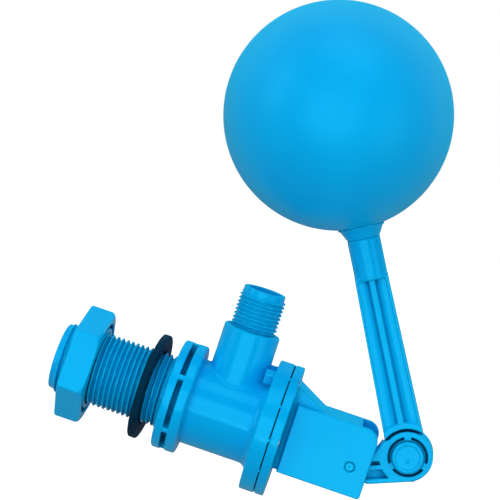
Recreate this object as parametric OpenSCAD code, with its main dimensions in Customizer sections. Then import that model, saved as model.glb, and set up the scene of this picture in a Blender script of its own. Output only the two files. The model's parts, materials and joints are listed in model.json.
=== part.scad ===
// Float valve for a tank wall: a diaphragm valve worked by an eccentric lever, with a folding
// float arm and a ball float.
// Frame: the origin is on the shank's axis at the wall flange's sealing face. +X runs along
// the shank towards the lever, +Z runs up the outlet branch. The valve is drawn shut, with the
// float arm folded back over the body.

/* [Shank and inlet] */
// Major diameter of the parallel shank thread
shank_d = 33.25; // [32.8:0.05:33.6]
// Pitch of the shank thread
shank_pitch = 2.309; // [2:0.001:2.5]
// Length of the shank from the wall flange to its open end
shank_len = 52.5; // [49.5:0.5:60]
// Diameter of the inlet bore
inlet_d = 24; // [23.4:0.1:25]

/* [Lock nut and gasket] */
// Lock nut, across flats
nut_af = 45.6; // [43:0.1:48]
// Lock nut thickness
nut_t = 12; // [8:0.5:12]
// Distance from the wall flange to the lock nut's near face
nut_gap = 34.2; // [28:0.1:36]
// Outside diameter of the wall gasket
gasket_d = 48.8; // [44:0.2:50]
// Thickness of the wall gasket
gasket_t = 3; // [2:0.1:3.5]
// Distance from the wall flange to the middle of the loose gasket
gasket_gap = 9; // [7:0.1:14]
// Swing of the loose gasket about the vertical, in degrees
gasket_swing = -3; // [-4:0.5:4]
// Lean of the loose gasket towards the body, in degrees
gasket_lean = 0.5; // [0:0.5:2]

/* [Valve body] */
// Diameter of the wall flange
wall_flange_d = 50.2; // [46:0.2:54]
// Thickness of the wall flange
wall_flange_t = 10.8; // [10.4:0.1:12]
// Outside diameter of the barrel
barrel_d = 39; // [37:0.2:40]
// Distance from the origin to the back of the diaphragm flange
clamp_x = 43.3; // [42.6:0.1:44]
// Diameter of the diaphragm flange and of the cover flange
clamp_d = 60.2; // [59.6:0.2:64]
// Distance from the origin to the axis of the outlet branch
branch_x = 27; // [26:0.1:28]
// Diameter of the branch's plain lower part
branch_d = 25.7; // [25:0.1:27]
// Height of the branch's plain lower part above the shank axis
branch_h = 39.3; // [37:0.1:42]

/* [Outlet thread] */
// Major diameter of the outlet thread
outlet_d = 20.955; // [20.7:0.005:21.2]
// Pitch of the outlet thread
outlet_pitch = 1.814; // [1.6:0.001:2]
// Height of the top of the outlet above the shank axis
outlet_top = 57.8; // [54:0.1:62]
// Diameter of the outlet bore
outlet_bore_d = 15; // [12:0.1:15.4]

/* [Cover] */
// Thickness of the cover flange
cover_t = 4.1; // [4:0.1:5]
// Open gap between the two flanges
flange_gap = 0.5; // [0.4:0.05:0.6]
// Width of the lever guard over both cheeks
guard_w = 24; // [23:0.1:26]
// Thickness of each cheek of the guard
cheek_t = 3; // [2.6:0.1:3.2]
// Distance from the origin to the open end of the guard
guard_end_x = 95.6; // [94:0.1:97]
// Height of the guard's top above the shank axis
guard_top = 15.6; // [14.6:0.1:17]
// Depth of the guard's lower edge below the shank axis
guard_drop = 16; // [14:0.1:17]

/* [Lever and elbow] */
// Distance from the origin to the lever pivot
pivot_x = 87.1; // [86.5:0.1:87.6]
// Depth of the lever pivot below the shank axis, which is also the cam's eccentricity
pivot_drop = 3.15; // [2.9:0.05:3.4]
// Distance between the lever pivot and the elbow pivot
lever_len = 25.8; // [25.4:0.1:27]
// Angle of the lever above the horizontal with the valve shut, in degrees
lever_angle = 26.4; // [25:0.1:28]
// Radius of the lever's elbow disc
elbow_r = 11.2; // [10.8:0.1:11.4]
// Thickness of the lever and of the arm's elbow, over both halves of the lap
elbow_t = 12; // [11.6:0.1:12.4]

/* [Float arm and ball] */
// Angle of the float arm from +X, in degrees
arm_angle = 119.9; // [112:0.1:120]
// Width of the arm beside the elbow
arm_w = 17.3; // [16.6:0.1:17.4]
// Width of the arm below its socket
arm_tip_w = 14.6; // [14:0.1:15]
// Diameter of the arm's float socket
socket_d = 14.8; // [14:0.1:15]
// Distance from the elbow to the mouth of the socket
socket_s = 98.6; // [96:0.1:110]
// Diameter of the ball float
ball_d = 101.6; // [90:0.2:110]
// Wall thickness of the ball float
ball_wall = 2; // [1.6:0.1:3]

/* [Hidden] */
$fn = 96;

blue = [0.01, 0.62, 0.88];
natural = [0.92, 0.91, 0.86];
rubber = [0.02, 0.04, 0.06];
steel = [0.72, 0.73, 0.75];

eps = 0.01;              // overlap of a cut past a face
big = 200;               // longer than any cut needs
play = 0.05;             // radial clearance of running and plain fits
face_gap = 0.02;         // clearance between faces that touch

shank_r = shank_d / 2;
thread_depth = 0.64;     // depth of a 55 degree thread, in pitches
lead_x = 1.9;            // plain lead at the shank's end
lead_r = 15;
clamp_face = clamp_x + 6.8;            // sealing face of the diaphragm flange
cover_face = clamp_face + flange_gap;  // inner face of the cover flange
cover_back = cover_face + cover_t;     // outer face of the cover flange
guard_x = cover_back + 2.4;            // start of the full-width guard

barrel_wall = 4;
chamber_r = barrel_d / 2 - barrel_wall;
web_x0 = 8;              // cross wall between inlet and chamber
web_x1 = 12;
hub_x = 20;              // end of the hub that holds the seat nozzle
hub_r = 11;
nozzle_r = 8;
nozzle_bore_r = 4.5;
o_ring_x = 14.6;
o_ring_r = 0.57;

diaphragm_r = 22.5;
diaphragm_t = 1.96;
diaphragm_x = cover_face - face_gap - diaphragm_t;
screw_pcd = 52.4;
screw_r = 2;
screw_head_r = 3.9;
screw_len = 9.4;

plunger_r = 4;
plunger_head_r = 8;
plunger_travel = 2.2;
cam_r = 8.1;
plunger_end = pivot_x - cam_r - face_gap;

pin_r = 1.8;
pivot = [pivot_x, 0, -pivot_drop];
elbow = pivot + lever_len * [cos(lever_angle), 0, sin(lever_angle)];
skirt = -94;             // direction of the lever's lower edge's touching point, from the elbow
lap_r = elbow_r + 1.4;   // radius of the concave shoulders around each elbow disc
bolt_r = 3.95;           // shank of the elbow pin
bolt_head_r = 7.1;
bolt_seat = 1.5;         // depth of the head's seat in the lever
ball_s = socket_s + 55.3;   // from the elbow to the ball's centre
stem_r = 5.4;
plug_r = 8;              // of the stem's plug that closes the hole in the ball
socket_len = 18.4;       // length of the arm's round socket

// ---------- helpers ----------

function arc(centre, r, a0, a1, n = 8) =
    [for (i = [0:n]) centre + r * [cos(a0 + (a1 - a0) * i / n), sin(a0 + (a1 - a0) * i / n)]];

// Turns children drawn along +Z so that they run along +X.
module along_x() {
    rotate([0, 90, 0]) children();
}

// Lathe about the X axis of a profile drawn as [radius, x].
module turn_x() {
    along_x() rotate_extrude() children();
}

// Lathe about a line along +Y through p of a profile drawn as [radius, y].
module turn_y(p) {
    translate(p) rotate([-90, 0, 0]) rotate_extrude() children();
}

// Plate between y0 and y1 of an outline drawn in the XZ plane.
module plate_xz(y0, y1) {
    translate([0, y1, 0]) rotate([90, 0, 0]) linear_extrude(y1 - y0) children();
}

// Cylinder along X between x0 and x1.
module rod_x(r, x0, x1) {
    translate([x0, 0, 0]) along_x() cylinder(r = r, h = x1 - x0);
}

// Box from its two corners.
module block(a, b) {
    translate(a) cube(b - a);
}

// Lever frame: origin at the lever pivot, +X towards the elbow.
module at_lever() {
    translate(pivot) rotate([0, -lever_angle, 0]) children();
}

// Arm frame: origin at the elbow, +Z along the arm.
module at_arm() {
    translate(elbow) rotate([0, 90 - arm_angle, 0]) children();
}

// Profile of a parallel thread as [radius, length], from s0 upwards.
module thread_profile(r, pitch, s0, s1) {
    root = r - thread_depth * pitch;
    turns = floor((s1 - s0) / pitch);
    ridges = [for (i = [0:turns - 1], p = [[root, 1 / 6], [r, 1 / 2], [r, 2 / 3], [root, 1]])
        [p[0], s0 + (i + p[1]) * pitch]];
    polygon(concat([[0, s0], [root, s0]], ridges, [[root, s1], [0, s1]]));
}

// ---------- valve body ----------

module body_profile() {
    flange_r = wall_flange_d / 2;
    barrel_r = barrel_d / 2;
    rounding = 1;
    fillet = 4;
    clamp_r = clamp_d / 2;
    bevel = 0.6;
    collar_t = 2;                // plain collar where the thread meets the wall flange
    polygon([
        [0, -shank_len], [lead_r - bevel, -shank_len], [lead_r, -shank_len + bevel],
        [lead_r, -shank_len + lead_x + 0.5], [0, -shank_len + lead_x + 0.5]
    ]);
    thread_profile(shank_r, shank_pitch, -shank_len + lead_x, -1.2);
    polygon(concat(
        [[0, -collar_t], [shank_r + face_gap, -collar_t], [shank_r + face_gap, 0]],
        arc([flange_r - rounding, rounding], rounding, -90, 0),
        arc([flange_r - rounding, wall_flange_t - rounding], rounding, 0, 90),
        [[barrel_r, wall_flange_t]],
        arc([barrel_r + fillet, clamp_x - fillet], fillet, 180, 90),
        [[clamp_r - 0.5, clamp_x], [clamp_r, clamp_x + 0.5]],
        [[clamp_r, clamp_face - 0.3], [clamp_r - 0.3, clamp_face], [0, clamp_face]]));
}

module branch_profile() {
    r = branch_d / 2;
    draft = 0.2;
    lead = 2;                    // plain length above the thread
    tip_r = outlet_d / 2 - 0.9;
    polygon([[0, 0], [r + draft, 0], [r, branch_h - 1], [r - 0.8, branch_h], [0, branch_h]]);
    thread_profile(outlet_d / 2, outlet_pitch, branch_h, outlet_top - lead);
    polygon([
        [0, branch_h], [tip_r, outlet_top - lead - 0.4],
        [tip_r, outlet_top - 0.4], [tip_r - 0.4, outlet_top], [0, outlet_top]
    ]);
}

// Six cored pockets in the rim of the wall flange, parted by radial ribs.
module flange_pockets() {
    rib = 2.3;
    x0 = 3.8;
    x1 = 6.4;
    floor_r = 19;
    difference() {
        rod_x(wall_flange_d / 2 + 1, x0, x1);
        rod_x(floor_r, x0 - 1, x1 + 1);
        for (i = [0:2])
            rotate([60 * i, 0, 0]) block([x0 - 1, -rib / 2, -big / 2], [x1 + 1, rib / 2, big / 2]);
    }
}

// Repeats children at n places around the shank axis, the first at angle a0 from +Z.
module around_x(n, a0) {
    for (i = [0:n - 1]) rotate([a0 + 360 * i / n, 0, 0]) children();
}

module valve_body() {
    lug = [4.2, 4.4, 4.3];
    lug_r = 24.2;                // inner radius of the two lugs behind the flange
    pip = [1.4, 28.4, 30];       // width, inner and outer radius of the spacer pips
    color(blue) difference() {
        union() {
            turn_x() body_profile();
            translate([branch_x, 0, 0]) rotate_extrude() branch_profile();
            for (a = [-34, 26]) rotate([a, 0, 0])
                translate([clamp_x - lug[0], -lug[1] / 2, lug_r]) cube([lug[0] + 1, lug[1], lug[2]]);
            around_x(12, 0) block(
                [clamp_face - 1, -pip[0] / 2, pip[1]], [cover_face - face_gap, pip[0] / 2, pip[2]]);
        }
        rod_x(inlet_d / 2, -shank_len - 1, web_x0);
        rod_x(nozzle_r + play, web_x0 - 1, hub_x + 1);
        difference() {
            rod_x(chamber_r, web_x1, clamp_face + 1);
            rod_x(hub_r, web_x1 - 1, hub_x);
        }
        rod_x(diaphragm_r + 0.1, diaphragm_x - face_gap, clamp_face + 1);
        translate([branch_x, 0, nozzle_r + 2]) cylinder(r = outlet_bore_d / 2, h = big);
        flange_pockets();
        around_x(6, 30) translate([0, 0, screw_pcd / 2])
            rod_x(screw_r + play, cover_back - screw_len - 0.5, cover_face + 1);
    }
}

// ---------- wall fixing ----------

module lock_nut() {
    corner_r = nut_af / sqrt(3);
    x1 = -nut_gap;
    x0 = x1 - nut_t;
    turn = -11;                  // brings one flat square to the front
    outer_bevel = [0.8, 0.6];    // radial and axial size
    inner_bevel = [1.6, 1.2];
    mouth = 1.2;
    core_depth = 2.5;
    color(blue) difference() {
        intersection() {
            rotate([turn, 0, 0]) translate([x0, 0, 0]) along_x()
                cylinder(r = corner_r, h = nut_t, $fn = 6);
            turn_x() polygon([
                [0, x0], [corner_r - outer_bevel[0], x0], [corner_r, x0 + outer_bevel[1]],
                [corner_r, x1 - inner_bevel[1]], [corner_r - inner_bevel[0], x1], [0, x1]
            ]);
        }
        rod_x(shank_r + 2 * play, x0 - 1, x1 + 1);
        turn_x() polygon([[0, x0 - eps], [shank_r + mouth, x0 - eps],
            [shank_r, x0 + mouth], [0, x0 + mouth]]);
        difference() {
            rod_x(corner_r - 5.4, x1 - core_depth, x1 + 1);
            rod_x(shank_r + 2.2, x1 - core_depth - 1, x1 + 2);
        }
    }
}

module wall_gasket() {
    r = gasket_d / 2;
    h = gasket_t / 2;
    hole_r = shank_r + 0.45;
    edge = 0.5;
    color(rubber) translate([-gasket_gap, 0, 0]) rotate([0, gasket_lean, gasket_swing])
        turn_x() polygon(concat(
            [[hole_r, -h]], arc([r - edge, -h + edge], edge, -90, 0, 4),
            arc([r - edge, h - edge], edge, 0, 90, 4), [[hole_r, h]]));
}

// ---------- water way ----------

module inlet_filter() {
    rim_r = inlet_d / 2 - play;
    cage_r = rim_r - 1.4;
    wall = 1.2;
    x0 = -40;
    x1 = -4;
    slot_w = 2.4;
    color(natural) difference() {
        union() {
            rod_x(cage_r, x0, x1);
            rod_x(rim_r, x1 - 3, x1);
        }
        rod_x(cage_r - wall, x0 + wall, x1 + 1);
        for (i = [0:5], x = [x0 + 3, x0 + 18]) rotate([30 * i, 0, 0])
            block([x, -slot_w / 2, -big / 2], [x + 12.5, slot_w / 2, big / 2]);
    }
}

module seat_nozzle() {
    lip_x = diaphragm_x - face_gap;
    groove = 1.12;
    color(natural) turn_x() polygon([
        [nozzle_bore_r, web_x0 + 0.2], [nozzle_r - 0.6, web_x0 + 0.2], [nozzle_r, web_x0 + 0.8],
        [nozzle_r, o_ring_x - 0.9], [nozzle_r - groove, o_ring_x - 0.9],
        [nozzle_r - groove, o_ring_x + 0.9], [nozzle_r, o_ring_x + 0.9],
        [nozzle_r, hub_x + face_gap], [nozzle_r + 2, hub_x + face_gap], [nozzle_r + 2, hub_x + 2],
        [nozzle_r, hub_x + 2.6], [nozzle_r, lip_x - 5], [nozzle_r - 1.6, lip_x - 1],
        [nozzle_r - 2.2, lip_x], [nozzle_bore_r + 0.5, lip_x], [nozzle_bore_r, lip_x - 0.5]
    ]);
}

module seat_o_ring() {
    color(rubber) turn_x() translate([nozzle_r - 0.54, o_ring_x]) circle(r = o_ring_r);
}

module diaphragm() {
    back = diaphragm_x + diaphragm_t;
    thin = 1.1;
    color(rubber) turn_x() polygon([
        [0, diaphragm_x], [8.6, diaphragm_x], [9.6, back - thin], [chamber_r - 1.5, back - thin],
        [chamber_r - 0.5, diaphragm_x], [diaphragm_r, diaphragm_x], [diaphragm_r, back], [0, back]
    ]);
}

module plunger() {
    x0 = cover_face;
    color(natural) turn_x() polygon([
        [0, x0], [plunger_head_r - 0.5, x0], [plunger_head_r, x0 + 0.5], [plunger_head_r, x0 + 1.8],
        [plunger_r, x0 + 3], [plunger_r, plunger_end - 0.6], [plunger_r - 0.6, plunger_end],
        [0, plunger_end]
    ]);
}

// ---------- cover ----------

module guard_outline(x0, x1, inset, corner) {
    top = guard_top - inset;
    bottom = -guard_drop + inset;
    polygon(concat(
        [[x0, bottom]], arc([x1 - 1.5, bottom + 1.5], 1.5, -90, 0, 4),
        arc([x1 - corner, top - corner], corner, 0, 90, 8), [[x0, top]]));
}

module cover() {
    gusset_w = 18;
    gusset_top = 23.4;
    gusset_x = guard_x + 12.5;
    neck_w = guard_w - 4;
    roof_t = 3;
    notch_x = pivot_x - 0.1;
    guide_end = guard_x + 11;
    inner = guard_w / 2 - cheek_t;
    clamp_r = clamp_d / 2;
    pocket_r = plunger_head_r + 0.3;
    pocket_x = cover_face + 3 + plunger_travel + 0.5;
    pin_seat_r = 2.45;           // shallow ring around each end of the lever pin
    color(blue) difference() {
        union() {
            turn_x() polygon([
                [0, cover_face], [clamp_r - 0.3, cover_face], [clamp_r, cover_face + 0.3],
                [clamp_r, cover_back - 0.6], [clamp_r - 0.6, cover_back], [0, cover_back]
            ]);
            plate_xz(-neck_w / 2, neck_w / 2) guard_outline(cover_back - 1, guard_x + 1, 0.6, 1);
            difference() {
                plate_xz(-guard_w / 2, guard_w / 2) guard_outline(guard_x, guard_end_x, 0, 6);
                block([guard_x + 3, -inner, -big / 2], [big, inner, guard_top - roof_t]);
                block([notch_x, -inner, 0], [big, inner, big]);
            }
            plate_xz(-gusset_w / 2, gusset_w / 2)
                polygon([[cover_back - 1, 0], [gusset_x, 0], [gusset_x, guard_top - 1],
                    [gusset_x, guard_top], [cover_back, gusset_top], [cover_back - 1, gusset_top]]);
            rod_x(plunger_r + 3, guard_x, guide_end);
        }
        block([guard_x + 3, -inner, -guard_drop - 1], [gusset_x + 1, inner, -plunger_r - 3]);
        difference() {
            block([guard_x + 3, -inner, -plunger_r - 4], [gusset_x + 1, inner, guard_top - roof_t]);
            rod_x(plunger_r + 3, guard_x, gusset_x + 2);
        }
        rod_x(plunger_r + play, cover_face, big);
        rod_x(pocket_r, cover_face - 1, pocket_x);
        turn_x() polygon([[0, cover_face - 1], [chamber_r, cover_face - 1],
            [chamber_r, cover_face + 0.6], [0, cover_face + 2.4]]);
        around_x(6, 30) translate([0, 0, screw_pcd / 2]) {
            rod_x(screw_r + play, cover_face - 1, cover_back + 1);
            turn_x() polygon([
                [0, cover_back + eps], [screw_head_r + 0.1 + eps, cover_back + eps],
                [screw_r + play, cover_back - 1.95], [0, cover_back - 1.95]]);
        }
        translate([pivot_x, -guard_w, -pivot_drop]) rotate([-90, 0, 0])
            cylinder(r = pin_r + face_gap, h = 2 * guard_w);
        for (side = [-1, 1]) translate([pivot_x, side * guard_w / 2, -pivot_drop])
            rotate([-90, 0, 0]) cylinder(r = pin_seat_r, h = 1, center = true);
    }
}

module cover_screws() {
    recess = 1;
    color(steel) around_x(6, 30) translate([0, 0, screw_pcd / 2]) difference() {
        turn_x() polygon([
            [0, cover_back - screw_len], [1.2, cover_back - screw_len],
            [screw_r, cover_back - screw_len + 1.4], [screw_r, cover_back - 2],
            [screw_head_r, cover_back - 0.1], [screw_head_r, cover_back], [0, cover_back]
        ]);
        for (a = [0, 90]) rotate([a, 0, 0])
            block([cover_back - 1.3, -recess / 2, -2.2], [cover_back + 1, recess / 2, 2.2]);
    }
}

// ---------- lever ----------

// Lever outline in the lever frame: cam, neck and elbow disc.
module lever_outline() {
    cam = [pivot_drop * sin(lever_angle), pivot_drop * cos(lever_angle)];
    translate(cam) circle(r = cam_r);
    translate([lever_len, 0]) circle(r = elbow_r);
    low = [elbow_r * cos(skirt), elbow_r * sin(skirt)];   // where the skirt touches the elbow disc
    polygon(concat(
        [[cam[0] - 2, cam[1] - 7.6]],
        arc([7.88, -6.77], 3.2, skirt - 40, skirt, 4),
        [[lever_len + low[0], low[1]], [lever_len - 1.3, 9.7], [16, 8.1], [10.8, 3], [cam[0], cam[1] + 5]]));
}

// Elbow disc's three arc slots, in the lever frame.
module elbow_slots() {
    bridge = 3.1;
    depth = 3.5;
    translate([lever_len, -elbow_t / 2 - 1, 0]) rotate([-90, 0, 0]) difference() {
        cylinder(r = 8.9, h = depth + 1);
        translate([0, 0, -1]) cylinder(r = bolt_head_r + 0.6, h = depth + 3);
        for (a = [38, 158, 278]) rotate([0, 0, a])
            translate([0, -bridge / 2, -1]) cube([12, bridge, depth + 3]);
    }
}

// Cored pocket in the lever's near face, parted by a rib, in the lever frame.
module lever_pocket() {
    depth = 3;
    face = -elbow_t / 2;
    translate([lever_len, 0, 0]) rotate([0, -90 - skirt, 0]) difference() {
        plate_xz(face - 1, face + depth) difference() {
            translate([-21.6, -elbow_r + 2.2]) square([16, 7.8]);
            circle(r = lap_r + 0.2);
        }
        block([-26, face - 2, -4.9], [0, face + depth + 1, -2.9]);
    }
}

module lever() {
    boss_half = guard_w / 2 - cheek_t - 0.2;
    boss_r = 5.8;
    half = elbow_t / 2;
    color(blue) at_lever() difference() {
        union() {
            plate_xz(-half, half) lever_outline();
            turn_y([0, 0, 0]) translate([0, -boss_half]) square([boss_r, 2 * boss_half]);
        }
        turn_y([0, 0, 0]) translate([0, -big / 2]) square([pin_r + play, big]);
        turn_y([lever_len, 0, 0]) translate([0, -face_gap]) square([lap_r, half + 1]);
        turn_y([lever_len, 0, 0]) translate([0, -big / 2]) square([bolt_r + play, big]);
        turn_y([lever_len, 0, 0]) translate([0, -half - 1]) square([bolt_head_r + 0.15, bolt_seat + 1]);
        elbow_slots();
        lever_pocket();
    }
}

module lever_pin() {
    end = guard_w / 2 - 0.1;
    color(blue) turn_y(pivot) polygon([
        [0, -end + 0.4], [0.7, -end], [pin_r - 0.2, -end], [pin_r, -end + 0.2],
        [pin_r, end - 0.2], [pin_r - 0.2, end], [0.7, end], [0, end - 0.4]
    ]);
}

// ---------- elbow clamp ----------

module elbow_pin() {
    seat = -elbow_t / 2 + bolt_seat - face_gap;
    front = -elbow_t / 2 - 2.4;
    tip = elbow_t / 2 + 8;
    dish = 0.5;
    rim_r = 5.4;
    color(blue) turn_y(elbow) polygon([
        [0, front + dish], [rim_r, front + dish], [rim_r + dish, front], [bolt_head_r - 0.8, front],
        [bolt_head_r, front + 0.8], [bolt_head_r, seat], [bolt_r, seat],
        [bolt_r, tip - 0.8], [bolt_r - 0.8, tip], [0, tip]
    ]);
}

module elbow_washer() {
    color(steel) turn_y(elbow) translate([bolt_r + play, elbow_t / 2 + face_gap])
        square([3.6, 0.8]);
}

module elbow_wing_nut() {
    y0 = elbow_t / 2 + 0.8 + 2 * face_gap;
    hub_t = 6.4;
    wing_t = 2.6;
    color(blue) translate([elbow[0], 0, elbow[2]]) rotate([0, -lever_angle, 0]) difference() {
        union() {
            turn_y([0, y0, 0]) polygon([[0, 0], [6.6, 0], [6.6, 1.5], [5.8, hub_t], [0, hub_t]]);
            translate([0, y0, 0]) rotate([0, 90, 0]) translate([0, 0, -wing_t / 2])
                linear_extrude(wing_t) for (side = [-1, 1]) wing_outline(side);
        }
        turn_y([0, y0 - 1, 0]) square([bolt_r + play, hub_t + 2]);
    }
}

// One wing's outline: a leaf that rises away from the hub.
module wing_outline(side) {
    mirror([side < 0 ? 1 : 0, 0]) polygon(concat(
        [[4.5, 1.6]], arc([11.5, 5.4], 4.2, -70, 80, 8), arc([9.6, 6.2], 3.2, 100, 150, 4),
        [[4.5, 5.6]]));
}

// ---------- float arm ----------

// Arm outline in the arm frame: elbow disc and tapered body.
module arm_outline() {
    s0 = 2;
    s1 = socket_s - 17;
    w0 = arm_w / 2;
    w1 = arm_tip_w / 2;
    circle(r = elbow_r + 0.1);
    polygon([[-w0, s0], [w0, s0], [w1, s1], [-w1, s1]]);
}

// Hollow beside the rib on one face of the arm: its floor falls towards the rib's root.
module arm_hollow(side, near) {
    rib = 1.2;
    s0 = 15.6;
    s1 = socket_s - 19;
    taper = atan((arm_w - arm_tip_w) / 2 / (s1 - 2));
    outer = arm_w / 2 - 1;
    face = elbow_t / 2;
    mirror([side < 0 ? 1 : 0, 0, 0]) mirror([0, near ? 0 : 1, 0])
        intersection() {
            rotate([0, -taper, 0]) translate([0, 0, s0 - 8]) linear_extrude(s1 - s0 + 8)
                polygon([[-4, -face - 1], [outer, -face - 1], [outer, -face + 0.9],
                    [4.4, -face + 1.4], [rib, -face + 3], [-4, -face + 3]]);
            difference() {
                translate([rib, -face - 2, 0]) cube([arm_w, face + 2, s1]);
                turn_y([0, 0, 0]) translate([0, -big / 2]) square([s0 - 0.6, big]);
            }
        }
}

module float_arm() {
    half = elbow_t / 2;
    body_half = half - 0.4;
    fair_s = socket_s - socket_len + 2.4;   // where the arm's corners run out into the socket
    color(blue) at_arm() difference() {
        union() {
            intersection() {
                plate_xz(-body_half, body_half) arm_outline();
                rotate_extrude() polygon([[0, -2 * elbow_r], [2 * elbow_r, -2 * elbow_r],
                    [2 * elbow_r, fair_s - 2 * elbow_r], [socket_d / 2, fair_s], [0, fair_s]]);
            }
            plate_xz(-half, half) intersection() {
                arm_outline();
                circle(r = lap_r + 2.4);
            }
            translate([0, 0, socket_s - socket_len])
                cylinder(r = socket_d / 2, h = socket_len - face_gap);
        }
        for (side = [-1, 1], near = [true, false]) arm_hollow(side, near);
        turn_y([0, 0, 0]) translate([0, -half - 1]) square([lap_r, half + 1 + face_gap]);
        turn_y([0, 0, 0]) translate([0, -big / 2]) square([bolt_r + play, big]);
        translate([0, 0, socket_s - 15]) cylinder(r = stem_r + play, h = 20);
    }
}

// ---------- ball float ----------

module float_stem() {
    color(blue) at_arm() {
        difference() {
            rotate_extrude() polygon([
                [0, socket_s - 14], [stem_r - 0.8, socket_s - 14], [stem_r, socket_s - 13.2],
                [stem_r, socket_s], [7.5, socket_s], [7.5, socket_s + 0.6],
                [10.3, socket_s + 6.2], [10.3, socket_s + 7], [0, socket_s + 7]
            ]);
            translate([0, 0, ball_s]) sphere(r = ball_d / 2 + face_gap);
        }
        translate([0, 0, socket_s]) cylinder(r = plug_r, h = ball_s - ball_d / 2 - socket_s + 6);
    }
}

module ball_shell() {
    difference() {
        sphere(r = ball_d / 2);
        sphere(r = ball_d / 2 - ball_wall);
        translate([0, 0, -ball_d]) cylinder(r = plug_r + play, h = ball_d);
    }
}

// The ball is two half shells, welded in the plane that the arm swings in.
module float_near_shell() {
    color(blue) at_arm() translate([0, 0, ball_s]) difference() {
        ball_shell();
        block([-big, 0, -big], [big, big, big]);
    }
}

module float_far_shell() {
    color(blue) at_arm() translate([0, 0, ball_s]) difference() {
        ball_shell();
        block([-big, -big, -big], [big, 0, big]);
    }
}

valve_body();
lock_nut();
wall_gasket();
inlet_filter();
seat_nozzle();
seat_o_ring();
diaphragm();
plunger();
cover();
cover_screws();
lever();
lever_pin();
elbow_pin();
elbow_washer();
elbow_wing_nut();
float_arm();
float_stem();
float_near_shell();
float_far_shell();
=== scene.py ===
"""Float valve: moulded ABS pieces built as rounded solids around the CAD frame."""
import json
import math

import bpy
import numpy as np
from mathutils import Matrix, Vector


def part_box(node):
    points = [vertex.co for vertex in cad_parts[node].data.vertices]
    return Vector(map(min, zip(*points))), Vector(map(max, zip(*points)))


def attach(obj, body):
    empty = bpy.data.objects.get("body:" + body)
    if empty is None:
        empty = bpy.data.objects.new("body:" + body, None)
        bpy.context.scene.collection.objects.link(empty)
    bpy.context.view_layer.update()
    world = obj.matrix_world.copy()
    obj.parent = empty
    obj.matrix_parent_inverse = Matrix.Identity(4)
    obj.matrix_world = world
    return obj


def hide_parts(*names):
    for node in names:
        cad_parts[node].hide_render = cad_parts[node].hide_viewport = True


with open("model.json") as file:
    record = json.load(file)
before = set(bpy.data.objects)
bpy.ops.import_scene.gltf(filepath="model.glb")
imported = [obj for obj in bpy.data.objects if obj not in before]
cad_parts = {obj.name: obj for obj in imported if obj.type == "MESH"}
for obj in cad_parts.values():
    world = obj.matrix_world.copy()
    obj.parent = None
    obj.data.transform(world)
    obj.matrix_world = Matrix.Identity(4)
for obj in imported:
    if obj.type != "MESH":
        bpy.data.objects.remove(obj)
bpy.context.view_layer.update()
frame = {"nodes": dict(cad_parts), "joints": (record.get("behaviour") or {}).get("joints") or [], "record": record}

MM = 0.001
COARSE = 1.0


# ---------- places and sizes, in millimetres, from the frame ----------

def box_mm(node):
    low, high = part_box(node)
    return np.array(low) / MM, np.array(high) / MM


def joint_point(name):
    joint = next(j for j in frame["joints"] if j["name"] == name)
    return np.array(joint["pos_m"]) / MM


PIVOT = joint_point("lever_pivot")
ELBOW = joint_point("elbow_adjust")
LEVER_LEN = float(np.hypot(*(ELBOW - PIVOT)[[0, 2]]))
LEVER_TILT = math.atan2(ELBOW[2] - PIVOT[2], ELBOW[0] - PIVOT[0])

BALL_LOW, BALL_HIGH = box_mm("float_near_shell")
BALL_R = float(BALL_HIGH[0] - BALL_LOW[0]) / 2
BALL = np.array([(BALL_LOW[0] + BALL_HIGH[0]) / 2, 0.0, (BALL_LOW[2] + BALL_HIGH[2]) / 2])
BALL_S = float(np.hypot(*(BALL - ELBOW)[[0, 2]]))
ARM_TILT = math.atan2(BALL[0] - ELBOW[0], BALL[2] - ELBOW[2])

BODY_LOW, BODY_HIGH = box_mm("valve_body")
SHANK_END = float(BODY_LOW[0])
OUTLET_TOP = float(BODY_HIGH[2])
CLAMP_R = float(BODY_HIGH[1])
COVER_LOW, COVER_HIGH = box_mm("cover")
COVER_FACE = float(COVER_LOW[0])
GUARD_END = float(COVER_HIGH[0])
CLAMP_T, CLAMP_GAP, COVER_T = 6.8, 0.5, 4.1
CLAMP_X = COVER_FACE - (CLAMP_T + CLAMP_GAP)
COVER_BACK = COVER_FACE + COVER_T
NUT_LOW, NUT_HIGH = box_mm("lock_nut")
NUT_TURN = math.radians(-11.0)
NUT_HALF_FLATS, NUT_BORE_R = 22.8, 16.73

SHANK_R, SHANK_PITCH = 16.625, 2.309
OUTLET_R, OUTLET_PITCH = 10.4775, 1.814
THREAD_DEPTH = 0.64   # of the pitch
THREAD_SLOPE = 0.88   # keeps the flanks' distance from being overstated
BARREL_R, CHAMBER_R = 19.5, 15.5
SHANK_BORE_R, HUB_BORE_R, OUTLET_BORE_R = 12.0, 8.05, 7.5
DIAPHRAGM_R = 22.6
WALL_FLANGE_R, WALL_FLANGE_T = 25.1, 10.8
BRANCH_X, BRANCH_R, BRANCH_H = 27.0, 12.85, 39.3
ELBOW_R, ELBOW_HALF = 11.2, 6.0
LAP_R = ELBOW_R + 1.4
GUARD_HALF, CHEEK_T = 12.0, 3.0
GUARD_TOP, GUARD_DROP, GUSSET_TOP = 15.6, 16.0, 23.4
GUARD_X = COVER_BACK + 2.4
BOLT_R, BOLT_HEAD_R = 3.95, 7.1
SCREW_COUNT, SCREW_FIRST, SCREW_PCD_R, SCREW_HOLE_R = 6, 30, 26.2, 2.05
PIN_HOLE_R, PIN_RING_R, RUN_GAP = 1.82, 2.45, 0.05
GASKET_SWING, GASKET_LEAN = math.radians(-3.0), math.radians(0.5)
GASKET_R, GASKET_HOLE_R, GASKET_T = 24.4, 17.075, 3.0
SOCKET_S, SOCKET_R = BALL_S - 55.3, 7.4
BALL_WALL, PLUG_R = 2.0, 8.0
SKIRT_TURN = math.radians(4.0)
CAM_R = 8.1


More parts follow.
